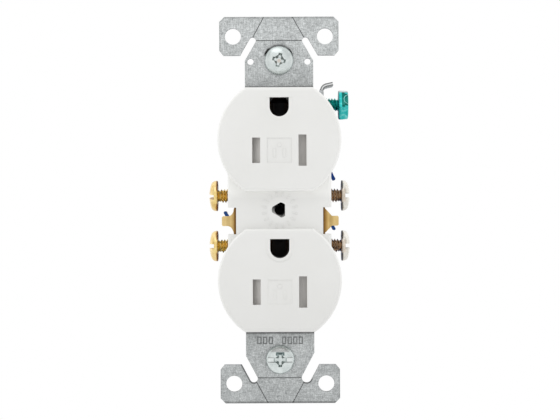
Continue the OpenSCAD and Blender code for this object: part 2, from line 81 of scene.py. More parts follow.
# ---------------------------------------------------------------- material helpers
class Mat:
    """A small builder for node materials in object coordinates (metres)."""

    def __init__(self, name):
        self.m = bpy.data.materials.new(name)
        self.m.use_nodes = True
        self.t = self.m.node_tree
        self.b = self.t.nodes["Principled BSDF"]
        self.coord = self.t.nodes.new("ShaderNodeTexCoord").outputs["Object"]

    def node(self, kind, **kw):
        n = self.t.nodes.new(kind)
        for k, v in kw.items():
            setattr(n, k, v)
        return n

    def link(self, a, b):
        self.t.links.new(a, b)
        return b

    def set(self, **kw):
        for k, v in kw.items():
            self.b.inputs[k.replace("_", " ")].default_value = v
        return self

    def scaled(self, sx=1.0, sy=1.0, sz=1.0, rot=(0, 0, 0)):
        n = self.node("ShaderNodeMapping")
        n.inputs["Scale"].default_value = (sx, sy, sz)
        n.inputs["Rotation"].default_value = rot
        self.link(self.coord, n.inputs["Vector"])
        return n.outputs["Vector"]

    def noise(self, scale, detail=4.0, rough=0.5, vec=None, distort=0.0):
        n = self.node("ShaderNodeTexNoise")
        n.inputs["Scale"].default_value = scale
        n.inputs["Detail"].default_value = detail
        n.inputs["Roughness"].default_value = rough
        n.inputs["Distortion"].default_value = distort
        self.link(vec or self.coord, n.inputs["Vector"])
        return n.outputs["Fac"]

    def voronoi(self, scale, feature="F1", out="Color", vec=None, rand=1.0):
        n = self.node("ShaderNodeTexVoronoi", feature=feature)
        n.inputs["Scale"].default_value = scale
        n.inputs["Randomness"].default_value = rand
        self.link(vec or self.coord, n.inputs["Vector"])
        return n.outputs[out]

    def ramp(self, fac, stops, interp="LINEAR"):
        n = self.node("ShaderNodeValToRGB")
        n.color_ramp.interpolation = interp
        el = n.color_ramp.elements
        while len(el) < len(stops):
            el.new(0.5)
        for e, (p, c) in zip(el, stops):
            e.position = p
            e.color = (*c, 1.0) if len(c) == 3 else c
        self.link(fac, n.inputs["Fac"])
        return n.outputs["Color"]

    def span(self, fac, a, b, lo=0.0, hi=1.0):
        n = self.node("ShaderNodeMapRange")
        n.inputs["From Min"].default_value = lo
        n.inputs["From Max"].default_value = hi
        n.inputs["To Min"].default_value = a
        n.inputs["To Max"].default_value = b
        self.link(fac, n.inputs["Value"])
        return n.outputs["Result"]

    def mix(self, fac, a, b, mode="MIX"):
        n = self.node("ShaderNodeMix", data_type="RGBA", blend_type=mode)
        for sock, v in ((n.inputs[0], fac), (n.inputs[6], a), (n.inputs[7], b)):
            if hasattr(v, "is_output"):
                self.link(v, sock)
            elif isinstance(v, (int, float)):
                sock.default_value = v
            else:
                sock.default_value = (*v, 1.0)
        return n.outputs[2]

    def math(self, op, a, b=0.0, clamp=False):
        n = self.node("ShaderNodeMath", operation=op, use_clamp=clamp)
        for sock, v in ((n.inputs[0], a), (n.inputs[1], b)):
            if hasattr(v, "is_output"):
                self.link(v, sock)
            else:
                sock.default_value = v
        return n.outputs[0]

    def axis(self, which):
        n = self.node("ShaderNodeSeparateXYZ")
        self.link(self.coord, n.inputs[0])
        return n.outputs[which]

    def bump(self, height, strength=0.1, distance=0.0001, normal=None):
        n = self.node("ShaderNodeBump")
        n.inputs["Strength"].default_value = strength
        n.inputs["Distance"].default_value = distance
        self.link(height, n.inputs["Height"])
        if normal is not None:
            self.link(normal, n.inputs["Normal"])
        return n.outputs["Normal"]

    def color(self, out):
        self.link(out, self.b.inputs["Base Color"])
        return self

    def rough(self, out):
        self.link(out, self.b.inputs["Roughness"])
        return self

    def metal(self, v=1.0):
        self.b.inputs["Metallic"].default_value = v
        return self

    def normal(self, out):
        self.link(out, self.b.inputs["Normal"])
        return self


def lin(r, g, b):
    """0-255 display colour to linear."""
    f = lambda c: c / 12.92 if c <= 0.04045 else ((c + 0.055) / 1.055) ** 2.4
    return tuple(f(c / 255) for c in (r, g, b))


def plastic_white():
    m = Mat("white_plastic")
    cloud = m.noise(55, 3, 0.5)
    fine = m.noise(1500, 2, 0.6)
    base = m.ramp(cloud, [(0.25, lin(231, 231, 228)), (0.75, lin(236, 236, 234))])
    # painted shade: the plastic is darker towards the bottom
    lower_shade = m.ramp(m.span(m.axis(2), 0, 1, -0.034, 0.020),
                  [(0.0, (0.900, 0.900, 0.900)), (0.04, (0.918, 0.918, 0.918)), (0.30, (0.966, 0.966, 0.966)), (0.78, (0.978, 0.978, 0.978)), (1.0, (1.0, 1.0, 1.0))])
    base = m.mix(1.0, base, lower_shade, "MULTIPLY")
    # painted highlight on the rounded rims, and painted light on the bridge close under the upper face to lift its
    # shade
    rim = m.ramp(m.span(m.axis(1), 0, 1, -0.0082, -0.0068),
                 [(0.115, (0.93, 0.93, 0.93)), (0.20, (1.0, 1.0, 1.0)), (0.75, (1.0, 1.0, 1.0)), (0.95, (0.95, 0.95, 0.95))])
    base = m.mix(1.0, m.mix(1.0, base, (1.075, 1.075, 1.075), "MULTIPLY"), rim, "MULTIPLY")
    low = m.math("MULTIPLY", m.math("GREATER_THAN", m.axis(1), -0.0046), m.math("LESS_THAN", m.axis(1), -0.0035))
    lift = m.ramp(m.span(m.axis(2), 0, 1, 0.0032, 0.0051), [(0.0, (0.90, 0.90, 0.90)), (1.0, (1.0, 1.0, 1.0))])
    base = m.mix(low, base, m.mix(1.0, m.mix(1.0, base, (1.11, 1.11, 1.11), "MULTIPLY"), lift, "MULTIPLY"))
    # painted shade on the sides of the raised ticks and signs, from the mesh's shade attribute
    att = m.node("ShaderNodeAttribute", attribute_name="shade")
    sep = m.node("ShaderNodeSeparateColor")
    m.link(att.outputs["Color"], sep.inputs[0])
    base = m.mix(sep.outputs[0], base, (0.33, 0.33, 0.325))
    m.color(base)
    m.rough(m.span(m.noise(240, 3, 0.6), 0.36, 0.50))
    flow = m.noise(90, 2, 0.5, vec=m.scaled(1, 1, 3))
    n1 = m.bump(flow, 0.05, 0.0002)
    m.normal(m.bump(fine, 0.10, 0.00003, n1))
    m.set(IOR=1.5)
    m.b.inputs["Subsurface Weight"].default_value = 0.0
    return m.m


def plastic_blue():
    m = Mat("blue_plastic")
    cloud = m.noise(80, 4, 0.5)
    blue = m.ramp(cloud, [(0.25, (0.0006, 0.055, 0.30)), (0.75, (0.002, 0.115, 0.46))])
    # painted shade down the ground holes, browner towards their sides
    xa = m.math("ABSOLUTE", m.axis(0))
    well = m.math("MULTIPLY", m.math("LESS_THAN", xa, 0.0098), m.math("LESS_THAN", m.axis(1), 0.0190))
    well = m.math("MULTIPLY", well, m.math("LESS_THAN", m.math("ABSOLUTE", m.axis(2)), 0.0323))
    hole_shade = m.ramp(m.span(xa, 0, 1, 0.0010, 0.0028), [(0.0, (0.052, 0.046, 0.060)), (1.0, (0.100, 0.050, 0.022))])
    m.color(m.mix(well, blue, hole_shade))
    m.rough(m.span(m.noise(350, 3, 0.6), 0.30, 0.48))
    m.normal(m.bump(m.noise(1400, 2, 0.6), 0.16, 0.00004))
    m.b.inputs["Specular IOR Level"].default_value = 0.28
    return m.m


def plastic_carrier():
    m = Mat("carrier_plastic")
    m.color(m.ramp(m.noise(90, 3, 0.5), [(0.3, lin(205, 203, 196)), (0.7, lin(218, 216, 210))]))
    m.rough(m.span(m.noise(400, 2, 0.5), 0.4, 0.6))
    m.normal(m.bump(m.noise(1300, 2, 0.6), 0.12, 0.00004))
    return m.m


def plastic_shutter():
    m = Mat("shutter_plastic")
    base = m.ramp(m.noise(260, 4, 0.6), [(0.3, lin(222, 219, 216)), (0.7, lin(234, 231, 228))])
    # painted shade: darker towards the outer edge of the right-hand ramp
    shade_and_shank_tone = m.ramp(m.span(m.axis(0), 0, 1, 0.0050, 0.0077), [(0.10, (1.0, 1.0, 1.0)), (0.95, (0.50, 0.49, 0.48))])
    m.color(m.mix(1.0, base, shade_and_shank_tone, "MULTIPLY"))
    # painted light: the shutters glow a little, most at the left of the right-hand slot
    glow = m.ramp(m.span(m.axis(0), 0, 1, 0.0046, 0.0077), [(0.0, (0.052, 0.051, 0.050)), (0.12, (0.15, 0.148, 0.145)), (0.55, (0.10, 0.099, 0.097)), (1.0, (0.04, 0.039, 0.038))])
    m.link(glow, m.b.inputs["Emission Color"])
    m.b.inputs["Emission Strength"].default_value = 1.0
    m.rough(m.span(m.noise(600, 2, 0.5), 0.35, 0.55))
    m.normal(m.bump(m.noise(1600, 2, 0.6), 0.2, 0.00003))
    return m.m


def galvanised():
    m = Mat("galvanised_steel")
    fine = m.noise(4300, 3, 0.62, vec=m.scaled(1, 1, 1))
    weave = m.noise(3000, 2, 0.5, vec=m.scaled(0.22, 1, 1.2))
    weave2 = m.noise(3000, 2, 0.5, vec=m.scaled(1.2, 1, 0.22))
    cells = m.node("ShaderNodeSeparateColor")
    m.link(m.voronoi(1500), cells.inputs[0])
    cloud = m.noise(120, 3, 0.5)
    v = m.math("MULTIPLY", fine, 0.40)
    v = m.math("ADD", v, m.math("MULTIPLY", weave, 0.22))
    v = m.math("ADD", v, m.math("MULTIPLY", weave2, 0.22))
    v = m.math("ADD", v, m.math("MULTIPLY", cells.outputs[0], 0.04))
    v = m.math("ADD", v, m.math("MULTIPLY", cloud, 0.12))
    base = m.ramp(v, [(0.37, (0.23, 0.243, 0.243)), (0.48, (0.435, 0.452, 0.452)), (0.60, (0.67, 0.695, 0.695))])
    # sheared edges are darker than the rolled face, and painted shade darkens the score lines and stamped marks
    deep = m.ramp(m.span(m.axis(1), 0, 1, -0.0010, 0.0), [(0.03, (0, 0, 0)), (0.08, (1, 1, 1)), (0.75, (1, 1, 1)), (0.95, (0, 0, 0))])
    marks = m.math("MULTIPLY", m.math("GREATER_THAN", m.axis(2), -0.0405), m.math("LESS_THAN", m.axis(2), -0.0350))
    dim = m.mix(m.math("MULTIPLY", deep, m.math("SUBTRACT", 0.72, m.math("MULTIPLY", marks, 0.16))), base, (0.05, 0.052, 0.052))
    # painted shade on the broken edges and walls, from the mesh's shade attribute
    att = m.node("ShaderNodeAttribute", attribute_name="shade")
    chan = m.node("ShaderNodeSeparateColor")
    m.link(att.outputs["Color"], chan.inputs[0])
    dim = m.mix(m.math("MULTIPLY", chan.outputs[0], 0.72), dim, (0.06, 0.062, 0.062))
    # painted light on the curled wire guide: shaded lips with a painted highlight line between them, measured across
    # the curl
    gx, gz = m.axis(0), m.axis(2)
    ax, az = m.math("SUBTRACT", gx, 0.01350), m.math("SUBTRACT", gz, 0.03360)
    arc = m.math("SUBTRACT", m.math("SQRT", m.math("ADD", m.math("MULTIPLY", ax, ax), m.math("MULTIPLY", az, az))), 0.0010)
    line = m.math("SUBTRACT", m.math("MULTIPLY", m.math("SUBTRACT", gz, 0.03462), 0.9755),
                  m.math("MULTIPLY", m.math("SUBTRACT", gx, 0.01330), 0.2201))
    past = m.math("GREATER_THAN", gx, 0.01330)
    across = m.math("ADD", m.math("MULTIPLY", arc, m.math("SUBTRACT", 1.0, past)), m.math("MULTIPLY", line, past))
    lips = m.ramp(m.span(across, 0, 1, 0.0, 0.00094), [(0.0, (0.13, 0.13, 0.13)), (0.24, (0.13, 0.13, 0.13)), (0.38, (0.85, 0.86, 0.86)),
                                                    (0.60, (0.85, 0.86, 0.86)), (0.74, (0.13, 0.13, 0.13)), (1.0, (0.13, 0.13, 0.13))])
    curl = m.math("MULTIPLY", m.math("GREATER_THAN", gx, 0.0114), m.math("MULTIPLY", m.math("GREATER_THAN", gz, 0.0337), m.math("LESS_THAN", m.axis(1), 0.0027)))
    dim = m.mix(m.math("MULTIPLY", curl, m.math("MULTIPLY", m.math("GREATER_THAN", m.axis(1), 0.0020), 0.85)), dim, lips)
    # painted shade along the outline of the blanked sheet: top, bottom and ear ends, and the ear side of the lower
    # relief slots
    top = m.ramp(m.span(m.axis(2), 0, 1, 0.0531, 0.0539), [(0.15, (0, 0, 0)), (0.6, (1, 1, 1))])
    bot = m.ramp(m.span(m.axis(2), 0, 1, -0.0539, -0.0531), [(0.45, (1, 1, 1)), (0.9, (0, 0, 0))])
    xa = m.math("ABSOLUTE", m.axis(0))
    end = m.ramp(m.span(xa, 0, 1, 0.0158, 0.01665), [(0.3, (0, 0, 0)), (0.8, (1, 1, 1))])
    dim = m.mix(m.math("MULTIPLY", top, 0.30), dim, (0.06, 0.06, 0.06))
    dim = m.mix(m.math("MULTIPLY", bot, 0.55), dim, (0.06, 0.06, 0.06))
    dim = m.mix(m.math("MULTIPLY", end, 0.16), dim, (0.06, 0.06, 0.06))
    left = m.math("LESS_THAN", m.axis(0), 0.0)
    rx = m.math("SUBTRACT", xa, m.math("ADD", 0.00736, m.math("MULTIPLY", left, 0.00003)))
    rz = m.math("SUBTRACT", m.math("MULTIPLY", m.axis(2), -1.0), m.math("ADD", 0.04683, m.math("MULTIPLY", left, 0.00023)))
    half = m.math("SUBTRACT", 0.001375, m.math("MULTIPLY", left, 0.000285))
    off = m.math("ADD", m.math("MULTIPLY", rx, 0.883), m.math("MULTIPLY", rz, 0.469))
    run = m.math("SUBTRACT", m.math("MULTIPLY", rx, 0.469), m.math("MULTIPLY", rz, 0.883))
    rad = m.math("SQRT", m.math("ADD", m.math("MULTIPLY", rx, rx), m.math("MULTIPLY", rz, rz)))
    band = [(0.0, (1, 1, 1)), (0.50, (1, 1, 1)), (0.95, (0, 0, 0))]
    tip = m.math("MULTIPLY", m.ramp(m.span(m.math("SUBTRACT", rad, half), 0, 1, -0.00005, 0.00041), band), m.math("MULTIPLY", m.math("GREATER_THAN", off, -0.0002), m.math("LESS_THAN", run, 0.0006)))
    edge = m.math("MULTIPLY", m.ramp(m.span(m.math("SUBTRACT", off, half), 0, 1, -0.00005, 0.00041), band),
                  m.math("MULTIPLY", m.math("GREATER_THAN", off, 0.0008), m.math("MULTIPLY", m.math("GREATER_THAN", run, 0.0), left)))
    low = m.math("LESS_THAN", m.axis(2), -0.0425)
    dim = m.mix(m.math("MULTIPLY", m.math("MULTIPLY", m.math("MAXIMUM", tip, edge), low), 0.80), dim, (0.05, 0.052, 0.052))
    # painted shadow around the top of the upper screw
    hz = m.math("SUBTRACT", m.axis(2), 0.04195)
    hr = m.math("SQRT", m.math("ADD", m.math("MULTIPLY", m.axis(0), m.axis(0)), m.math("MULTIPLY", hz, hz)))
    ring = m.ramp(m.span(hr, 0, 1, 0.0034, 0.0052), [(0.0, (1, 1, 1)), (0.30, (0.75, 0.75, 0.75)), (1.0, (0, 0, 0))])
    upper = m.ramp(m.span(hz, 0, 1, 0.0008, 0.0036), [(0.0, (0, 0, 0)), (1.0, (1, 1, 1))])
    dim = m.mix(m.math("MULTIPLY", m.math("MULTIPLY", ring, upper), 0.62), dim, (0.10, 0.103, 0.103))
    # and painted shade for the dark gap beside its head, widest at the upper left
    gap = m.math("DIVIDE", m.math("SUBTRACT", m.math("MULTIPLY", hz, 0.525), m.math("MULTIPLY", m.axis(0), 0.851)), m.math("MAXIMUM", hr, 0.0005))
    gap = m.math("MULTIPLY", m.ramp(m.span(gap, 0, 1, 0.93, 1.0), [(0.10, (0, 0, 0)), (0.8, (1, 1, 1))]),
                 m.ramp(m.span(hr, 0, 1, 0.0038, 0.0048), [(0.0, (1, 1, 1)), (0.50, (1, 1, 1)), (0.70, (0, 0, 0))]))
    dim = m.mix(m.math("MULTIPLY", gap, 0.92), dim, (0.014, 0.014, 0.014))
    # and a thin line of painted shade over the top of its head
    over = m.math("MULTIPLY", m.ramp(m.span(hz, 0, 1, 0.0018, 0.0032), [(0.0, (0, 0, 0)), (1.0, (1, 1, 1))]),
                  m.ramp(m.span(hr, 0, 1, 0.0038, 0.0046), [(0.0, (1, 1, 1)), (0.38, (1, 1, 1)), (0.66, (0, 0, 0))]))
    dim = m.mix(m.math("MULTIPLY", over, 0.60), dim, (0.05, 0.05, 0.05))
    # painted light and shade along the length: darker at the lower end, a little lighter just below the lower face and
    # towards the top
    along = m.ramp(m.span(m.axis(2), 0, 1, -0.055, 0.055),
                   [(0.0, (0.93, 0.93, 0.93)), (0.10, (0.95, 0.95, 0.95)), (0.20, (1.06, 1.06, 1.06)), (0.35, (1.0, 1.0, 1.0)), (0.82, (1.0, 1.0, 1.0)), (0.92, (1.12, 1.12, 1.12))])
    dim = m.mix(1.0, dim, along, "MULTIPLY")
    # painted shade inside the wall-plate hole: the collar dark, lighter at the left tip and lower right
    hole = m.math("LESS_THAN", m.axis(1), -0.00125)
    tint = m.ramp(m.span(m.math("ADD", m.axis(0), m.math("MULTIPLY", m.axis(2), 0.9)), 0, 1, -0.0022, 0.0010),
                  [(0.0, (0.46, 0.46, 0.45)), (0.25, (0.20, 0.20, 0.198)), (0.50, (0.03, 0.03, 0.03)), (1.0, (0.002, 0.002, 0.002))])
    nick = m.ramp(m.span(m.math("SUBTRACT", m.axis(0), m.axis(2)), 0, 1, 0.0020, 0.0028), [(0.1, (0, 0, 0)), (0.9, (0.29, 0.29, 0.28))])
    dim = m.mix(hole, dim, m.mix(1.0, tint, nick, "ADD"))
    m.link(m.math("MULTIPLY", m.math("SUBTRACT", 1.0, hole), 0.5), m.b.inputs["Specular IOR Level"])
    # painted contact shadow where the strap leaves the cover: a dark line and a softer wider band
    za = m.math("ABSOLUTE", m.axis(2))
    line = m.ramp(m.span(za, 0, 1, 0.0335, 0.0355), [(0.42, (1, 1, 1)), (0.60, (0, 0, 0))])
    wide = m.ramp(m.span(za, 0, 1, 0.0335, 0.0375), [(0.1, (1, 1, 1)), (1.0, (0, 0, 0))])
    front = m.ramp(m.span(m.axis(1), 0, 1, -0.0012, -0.0008), [(0.7, (1, 1, 1)), (0.9, (0, 0, 0))])
    front = m.math("MULTIPLY", front, m.math("SUBTRACT", 1.0, hole))
    dim = m.mix(m.math("MULTIPLY", m.math("MULTIPLY", wide, front), 0.22), dim, (0.20, 0.20, 0.20))
    dim = m.mix(m.math("MULTIPLY", m.math("MULTIPLY", line, front), 0.70), dim, (0.06, 0.06, 0.06))
    m.color(dim)
    m.metal(0.80)
    m.rough(m.span(v, 0.62, 0.40))
    m.normal(m.bump(fine, 0.40, 0.00003))
    return m.m


def rolled_brass(name, dark, light, rough=(0.22, 0.42), streak=(1, 1, 18)):
    m = Mat(name)
    s = m.noise(420, 5, 0.65, vec=m.scaled(*streak))
    patch = m.noise(230, 3, 0.6)
    v = m.math("ADD", m.math("MULTIPLY", s, 0.6), m.math("MULTIPLY", patch, 0.4))
    m.color(m.ramp(v, [(0.3, dark), (0.7, light)]))
    m.metal()
    m.rough(m.span(s, rough[0], rough[1]))
    m.normal(m.bump(s, 0.25, 0.00003))
    return m.m


def strip_brass():
    """Rolled brass strip: bright tab, browner towards the bend and along the plate's sheared edge, partly its own
    colour and partly painted shade; the left-hand side gets less of that shade.
    """
    m = Mat("strip_brass")
    s = m.noise(420, 5, 0.65, vec=m.scaled(18, 1, 1))
    patch = m.noise(300, 3, 0.6)
    v = m.math("ADD", m.math("MULTIPLY", s, 0.55), m.math("MULTIPLY", patch, 0.45))
    base = m.ramp(v, [(0.3, (0.60, 0.43, 0.17)), (0.7, (0.86, 0.69, 0.37))])
    # painted shade across the strip, with the sheared edge's own darker colour: darkest by the notch, with a shallower
    # dip further out
    xa = m.math("ABSOLUTE", m.axis(0))
    tone = m.ramp(m.span(xa, 0, 1, 0.0120, 0.0165),
                  [(0.02, (0.20, 0.14, 0.08)), (0.12, (0.30, 0.20, 0.11)), (0.20, (0.50, 0.37, 0.23)), (0.29, (0.70, 0.58, 0.41)),
                   (0.38, (0.90, 0.83, 0.70)), (0.49, (0.74, 0.68, 0.57)), (0.60, (0.78, 0.73, 0.63)), (0.70, (0.98, 0.95, 0.90)), (1.0, (1.0, 0.98, 0.95))])
    # less of the painted shade on the left-hand strip beyond the notch edge
    lighter = m.math("MULTIPLY", m.math("MULTIPLY", m.math("LESS_THAN", m.axis(0), 0.0), m.math("GREATER_THAN", xa, 0.0129)), 0.30)
    tone = m.mix(lighter, tone, (1.0, 1.0, 1.0))
    m.color(m.mix(1.0, base, tone, "MULTIPLY"))
    m.metal()
    m.rough(m.span(s, 0.24, 0.42))
    m.normal(m.bump(s, 0.25, 0.00003))
    return m.m


def screw_metal(name, dark, mid, light, rough=(0.16, 0.34), metallic=1.0, shank=None, rim=(0.04, 0.035, 0.03), hexed=False, shadowed=False):
    """The "shade" attribute says where shade is painted: red for edges, recess walls and thread roots, green for the
    shank.
    """
    m = Mat(name)
    patch = m.noise(520, 4, 0.6, distort=0.4)
    fine = m.noise(2400, 3, 0.6)
    v = m.math("ADD", m.math("MULTIPLY", patch, 0.75), m.math("MULTIPLY", fine, 0.25))
    col = m.ramp(v, [(0.28, dark), (0.5, mid), (0.72, light)])
    att = m.node("ShaderNodeAttribute", attribute_name="shade")
    sep = m.node("ShaderNodeSeparateColor")
    m.link(att.outputs["Color"], sep.inputs[0])
    if shank:
        shade_and_shank_tone = m.ramp(v, [(0.3, tuple(0.80 * c for c in shank)), (0.7, tuple(min(1.0, 1.25 * c) for c in shank))])
        col = m.mix(sep.outputs[1], col, shade_and_shank_tone)
    shade_paint = sep.outputs[0]
    if shadowed:
        # less painted shade on the upper mounting screw, and much less at the ends of the lower one's slot
        shade_paint = m.math("MULTIPLY", shade_paint, m.math("SUBTRACT", 1.0, m.math("MULTIPLY", m.math("GREATER_THAN", m.axis(2), 0.0), 0.14)))
        sx, sz = m.math("ABSOLUTE", m.axis(0)), m.math("ABSOLUTE", m.math("ADD", m.axis(2), 0.04167))
        ends = m.math("MULTIPLY", m.math("LESS_THAN", sz, 0.00042), m.math("MULTIPLY", m.math("GREATER_THAN", sx, 0.00125), m.math("LESS_THAN", sx, 0.0022)))
        shade_paint = m.math("MULTIPLY", shade_paint, m.math("SUBTRACT", 1.0, m.math("MULTIPLY", ends, 0.85)))
    # painted shade in the rim colour where the shade attribute is red
    col = m.mix(shade_paint, col, rim)
    if hexed:
        # painted reflections on the hexagon: a dark reflection on the flat facing the front, a painted ring of light in
        # it, and a greyer flat above
        wob = m.math("MULTIPLY", m.math("SUBTRACT", m.noise(900, 2, 0.5), 0.5), 0.0009)
        dx = m.math("ADD", m.math("SUBTRACT", m.axis(0), 0.01955), wob)
        dz = m.math("ADD", m.math("SUBTRACT", m.axis(2), 0.03105), wob)
        dist = m.math("SQRT", m.math("ADD", m.math("MULTIPLY", dx, dx), m.math("MULTIPLY", dz, dz)))
        ring = m.ramp(m.span(dist, 0, 1, 0.0010, 0.0018), [(0.24, (0, 0, 0)), (0.36, (1, 1, 1)), (0.42, (1, 1, 1)), (0.56, (0, 0, 0))])
        dark = m.ramp(v, [(0.3, (0.0008, 0.050, 0.036)), (0.7, (0.004, 0.15, 0.12))])
        tone = m.node("ShaderNodeAttribute", attribute_name="tone")
        tch = m.node("ShaderNodeSeparateColor")
        m.link(tone.outputs["Color"], tch.inputs[0])
        col = m.mix(tch.outputs[0], col, dark)
        col = m.mix(m.math("MULTIPLY", m.math("MULTIPLY", ring, tch.outputs[2]), 0.75), col, (0.34, 0.66, 0.64))
        col = m.mix(m.math("MULTIPLY", tch.outputs[1], 0.85), col, (0.19, 0.25, 0.275))
    if shadowed:
        # painted reflection of the cover's shaded underside: a grey segment at the top of the lower mounting screw's
        # head
        zz = m.math("ADD", m.axis(2), 0.04167)
        xx = m.axis(0)
        rr = m.math("SQRT", m.math("ADD", m.math("MULTIPLY", zz, zz), m.math("MULTIPLY", xx, xx)))
        front = m.math("LESS_THAN", m.axis(1), -0.0015)
        inside = m.ramp(m.span(rr, 0, 1, 0.0, 0.004), [(0.84, (1, 1, 1)), (0.90, (0, 0, 0))])
        seg = m.math("MULTIPLY", m.ramp(m.span(zz, 0, 1, 0.0018, 0.0028), [(0.30, (0, 0, 0)), (0.50, (1, 1, 1))]), inside)
        col = m.mix(m.math("MULTIPLY", m.math("MULTIPLY", seg, front), 0.88), col, (0.43, 0.435, 0.43))
        # painted shade along the edges of its long slot, and painted light on the slot's floor
        xa = m.math("ABSOLUTE", xx)
        arm = m.math("MULTIPLY", m.math("GREATER_THAN", xa, 0.00180), m.math("LESS_THAN", xa, 0.0034))
        za = m.math("ABSOLUTE", zz)
        lines = m.ramp(m.span(za, 0, 1, 0.0, 0.001), [(0.50, (0, 0, 0)), (0.58, (1, 1, 1)), (0.70, (1, 1, 1)), (0.80, (0, 0, 0))])
        col = m.mix(m.math("MULTIPLY", m.math("MULTIPLY", lines, arm), m.math("MULTIPLY", front, 0.75)), col, (0.30, 0.30, 0.295))
        floor = m.math("MULTIPLY", m.math("LESS_THAN", za, 0.00050), arm)
        col = m.mix(m.math("MULTIPLY", floor, m.math("MULTIPLY", front, 0.5)), col, (0.80, 0.825, 0.82))
        # painted shade in its recess: a broad dark shoulder at the top over a mid-tone fill
        a1 = m.math("MULTIPLY", m.math("LESS_THAN", xa, 0.00115), m.math("MULTIPLY", m.math("GREATER_THAN", zz, 0.00172), m.math("LESS_THAN", zz, 0.00218)))
        a2 = m.math("MULTIPLY", m.math("MULTIPLY", m.math("LESS_THAN", xa, 0.00120), m.math("GREATER_THAN", xa, 0.00070)),
                    m.math("MULTIPLY", m.math("GREATER_THAN", zz, 0.00125), m.math("LESS_THAN", zz, 0.0018)))
        a3 = m.math("MULTIPLY", m.math("LESS_THAN", xa, 0.00115), m.math("MULTIPLY", m.math("GREATER_THAN", zz, 0.00118), m.math("LESS_THAN", zz, 0.00218)))
        col = m.mix(m.math("MULTIPLY", m.math("MULTIPLY", a3, front), 0.60), col, (0.26, 0.34, 0.34))
        col = m.mix(m.math("MULTIPLY", m.math("MULTIPLY", m.math("MAXIMUM", a1, a2), front), 0.78), col, (0.060, 0.095, 0.095))
        # a beige spot in the middle of the upper one
        uz = m.math("SUBTRACT", m.axis(2), 0.04155)
        ur = m.math("SQRT", m.math("ADD", m.math("MULTIPLY", uz, uz), m.math("MULTIPLY", xx, xx)))
        spot = m.ramp(m.span(ur, 0, 1, 0.0, 0.001), [(0.42, (1, 1, 1)), (0.62, (0, 0, 0))])
        col = m.mix(m.math("MULTIPLY", m.math("MULTIPLY", spot, front), 0.75), col, (0.60, 0.52, 0.46))
    m.color(col)
    m.metal(metallic)
    m.rough(m.math("ADD", m.span(patch, rough[0], rough[1]), m.math("MULTIPLY", sep.outputs[0], 0.25)))
    m.normal(m.bump(fine, 0.22, 0.00003, m.bump(patch, 0.15, 0.00008)))
    return m.m


def fibre():
    m = Mat("black_fibre")
    s = m.noise(900, 6, 0.7, vec=m.scaled(1, 1, 5), distort=0.5)
    m.color(m.ramp(s, [(0.35, (0.006, 0.006, 0.007)), (0.7, (0.030, 0.029, 0.028))]))
    m.rough(m.span(s, 0.65, 0.9))
    m.normal(m.bump(s, 0.5, 0.00008))
    return m.m


def spring_wire():
    m = Mat("spring_steel")
    s = m.noise(1500, 3, 0.6)
    m.color(m.ramp(s, [(0.3, (0.36, 0.37, 0.38)), (0.7, (0.56, 0.57, 0.59))]))
    m.metal()
    m.rough(m.span(s, 0.22, 0.38))
    m.normal(m.bump(s, 0.15, 0.00002))
    return m.m


WHITE = plastic_white()
BLUE = plastic_blue()
CARRIER = plastic_carrier()
SHUTTER = plastic_shutter()
STEEL = galvanised()
STRIP = strip_brass()
CONTACT = rolled_brass("contact_brass", (0.62, 0.36, 0.12), (0.86, 0.54, 0.22))
BRASS = screw_metal("screw_brass", (0.60, 0.39, 0.12), (0.82, 0.62, 0.27), (0.94, 0.80, 0.47),
                    shank=(1.0, 0.67, 0.22), rim=(0.34, 0.13, 0.02))
NICKEL = screw_metal("screw_nickel", (0.60, 0.57, 0.51), (0.74, 0.71, 0.65), (0.86, 0.84, 0.79),
                     shank=(0.54, 0.40, 0.27), rim=(0.05, 0.040, 0.032))
GREEN = screw_metal("green_plating", (0.010, 0.27, 0.26), (0.035, 0.46, 0.44), (0.34, 0.80, 0.77), rough=(0.12, 0.28), metallic=0.92,
                    shank=(0.02, 0.52, 0.45), rim=(0.01, 0.14, 0.16), hexed=True)
ZINC = screw_metal("screw_zinc", (0.53, 0.585, 0.575), (0.66, 0.71, 0.70), (0.80, 0.845, 0.835), rough=(0.20, 0.36), shank=(0.62, 0.66, 0.65), rim=(0.15, 0.185, 0.175), shadowed=True)
RIVET = screw_metal("rivet_steel", (0.42, 0.44, 0.44), (0.56, 0.58, 0.58), (0.68, 0.70, 0.70), rough=(0.3, 0.5))
FIBRE = fibre()
SPRING = spring_wire()


# ---------------------------------------------------------------- mesh helpers
def link_mesh(name, bm, mat, smooth=35.0):
    me = bpy.data.meshes.new(name)
    bm.normal_update()
    bm.to_mesh(me)
    bm.free()
    o = bpy.data.objects.new(name, me)
    scene.collection.objects.link(o)
    me.materials.append(mat)
    finish_shading(o, smooth)
    return o


def finish_shading(o, smooth=35.0):
    me = o.data
    me.shade_smooth()
    me.set_sharp_from_angle(angle=math.radians(smooth))


def apply_modifiers(o):
    bpy.context.view_layer.update()
    dg = bpy.context.evaluated_depsgraph_get()
    me = bpy.data.meshes.new_from_object(o.evaluated_get(dg), depsgraph=dg)
    old = o.data
    o.modifiers.clear()
    o.data = me
    if old.users == 0:
        bpy.data.meshes.remove(old)


def weigh(o):
    w = o.modifiers.new("normals", "WEIGHTED_NORMAL")
    w.mode = "FACE_AREA"
    w.weight = 90
    w.keep_sharp = True
    apply_modifiers(o)


